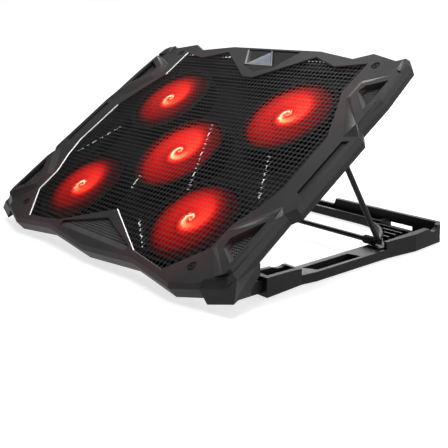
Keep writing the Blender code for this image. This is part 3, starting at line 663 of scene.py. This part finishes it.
def make_floor():
    n = Nodes("floor_paper")
    n.link(n.ramp(n.noise(3.0), [(0.3, grey(0.44)), (0.7, grey(0.46))]), n.shader.inputs["Base Color"])
    n.set(Roughness=0.6, Specular_IOR_Level=0.2, Emission_Color=(1, 1, 1, 1))
    away = n.add("ShaderNodeVectorMath", operation="LENGTH")
    n.link(n.place(), away.inputs[0])
    glow = n.add("ShaderNodeMapRange", interpolation_type="SMOOTHSTEP")
    n.link(away.outputs["Value"], glow.inputs["Value"])
    for socket, value in (("From Min", SHADE_NEAR), ("From Max", SHADE_FAR), ("To Min", SHADE_LEVEL)):
        glow.inputs[socket].default_value = value
    n.link(glow.outputs["Result"], n.shader.inputs["Emission Strength"])
    bm = bmesh.new()
    bmesh.ops.create_grid(bm, x_segments=1, y_segments=1, size=FLOOR_HALF_SIZE)
    mesh = bpy.data.meshes.new("floor")
    bm.to_mesh(mesh)
    bm.free()
    floor = bpy.data.objects.new("floor", mesh)
    mesh.materials.append(n.material)
    bpy.context.scene.collection.objects.link(floor)
    # the pad's dark sides are lit by the sky alone, not by the bright floor
    floor.visible_diffuse = False
    floor.visible_glossy = False


def make_sky():
    world = bpy.data.worlds.new("studio")
    bpy.context.scene.world = world
    world.use_nodes = True
    tree = world.node_tree
    place = tree.nodes.new("ShaderNodeTexCoord")
    split = tree.nodes.new("ShaderNodeSeparateXYZ")
    height = tree.nodes.new("ShaderNodeMapRange")
    height.inputs["From Min"].default_value = -1.0
    sky = tree.nodes.new("ShaderNodeValToRGB")
    tree.links.new(place.outputs["Generated"], split.inputs["Vector"])
    tree.links.new(split.outputs["Z"], height.inputs["Value"])
    tree.links.new(height.outputs["Result"], sky.inputs["Fac"])
    tree.links.new(sky.outputs["Color"], tree.nodes["Background"].inputs["Color"])
    elements = sky.color_ramp.elements
    while len(elements) < len(SKY):
        elements.new(0.5)
    for element, (position, level) in zip(elements, SKY):
        element.position = position
        element.color = (level, level, level, 1.0)
    tree.nodes["Background"].inputs["Strength"].default_value = 1.0


def make_lamps():
    for name, spot, power in LAMPS:
        data = bpy.data.lights.new(name, "AREA")
        data.size = LAMP_SIZE
        data.energy = power
        lamp = bpy.data.objects.new(name, data)
        bpy.context.scene.collection.objects.link(lamp)
        lamp.location = spot
        lamp.rotation_euler = (-Vector(spot)).to_track_quat("-Z", "Y").to_euler()


def make_stage():
    make_floor()
    make_sky()
    make_lamps()
    bpy.context.scene.view_settings.view_transform = "Standard"


# ---- all together -------------------------------------------------------------------------------
def finish_node(node, material):
    """Give a CAD node that keeps its shape its material."""
    NODES[node].data.materials.clear()
    NODES[node].data.materials.append(material)


def metal(name, dark, light, rough):
    n = coated_steel(name, dark, light, rough)
    n.set(Metallic=1.0)
    return n.material


def black(name, dark, light, rough, grain=GRAIN):
    return moulded_plastic(name, grey(dark), grey(light), rough, grain).material


def dress_shells(painted_highlight):
    """The bezel, bottom cover and base."""
    bezel = crisp_copy("deck_bezel", bezel_coat_and_painted_spill(), "deck")
    paint_field_edge_highlight(bezel, painted_highlight)
    cover = black("cover_plastic_look", 0.010, 0.015, 0.5)
    crisp_copy("bottom_cover", cover, "deck")
    base = black("base_plastic_look", 0.008, 0.012, 0.42)
    crisp_copy("base_frame", base, "base", BASE_EDGE_WIDTH)
    return cover


def dress_sheets(painted_highlight):
    fine = coated_steel("fine_mesh_look", grey(0.05), grey(0.08), 0.35).material
    perforated("front_window_mesh", fine, FINE_PITCH, FINE_HOLE, SOLID_EDGE)
    paint_ridge_glints(perforated("main_mesh", mesh_coat_and_painted_glow(), MAIN_PITCH, MAIN_HOLE), painted_highlight)
    for node in NODES:
        if node.startswith("side_mesh"):
            perforated(node, fine, FINE_PITCH, FINE_HOLE)


def dress_fans():
    frame_black = black("fan_plastic_look", 0.008, 0.012, 0.35)
    for fan in FANS:
        finish_node("fan_frame_" + fan, frame_black)
        spinning_blades(fan, lit_rotor(fan))


def dress_small_parts(cover):
    """The nodes that keep their CAD shape."""
    gloss = black("gloss_look", 0.006, 0.01, 0.14, POLISHED_GRAIN)
    rubber = black("rubber_look", 0.012, 0.018, 0.8)
    wire_coat = coated_steel("wire_look", grey(0.012), grey(0.018), 0.28)
    wire_coat.set(Specular_IOR_Level=WIRE_GLOSS)
    wire = wire_coat.material
    zinc = metal("zinc_look", (0.4, 0.4, 0.42), (0.5, 0.5, 0.52), 0.3)
    chrome = metal("chrome_look", (0.7, 0.71, 0.73), (0.8, 0.81, 0.83), 0.12)
    lens = moulded_plastic("lens_look", (0.12, 0.15, 0.19), (0.26, 0.28, 0.31), 0.12, POLISHED_GRAIN, 300.0)
    board = moulded_plastic("board_look", (0.01, 0.09, 0.04), (0.02, 0.13, 0.06), 0.4)
    looks = {
        "badge_inlay": gloss, "badge_rim": chrome, "badge_lens": lens.material, "switch_body": gloss,
        "light_switch": gloss, "power_board": board.material, "usb_socket_1": zinc, "usb_socket_2": zinc,
        "prop_bail": wire, "foot_roller_left": rubber, "foot_roller_right": rubber,
        "bail_clip_left": cover, "bail_clip_right": cover, "hinge_pin_left": zinc, "hinge_pin_right": zinc,
    }
    for node in NODES:
        if node.startswith("deck_screw"):
            looks[node] = wire
        if node.startswith("rubber_pad"):
            looks[node] = rubber
    for node, material in looks.items():
        finish_node(node, material)


def main():
    make_camera()
    make_stage()
    # light grey material that paints highlights on the opening's chamfer and glints on the ridges' crests
    painted_highlight = coated_steel("painted_highlight_look", grey(0.7), grey(0.85), 0.3).material
    cover = dress_shells(painted_highlight)
    dress_sheets(painted_highlight)
    dress_fans()
    dress_small_parts(cover)


main()
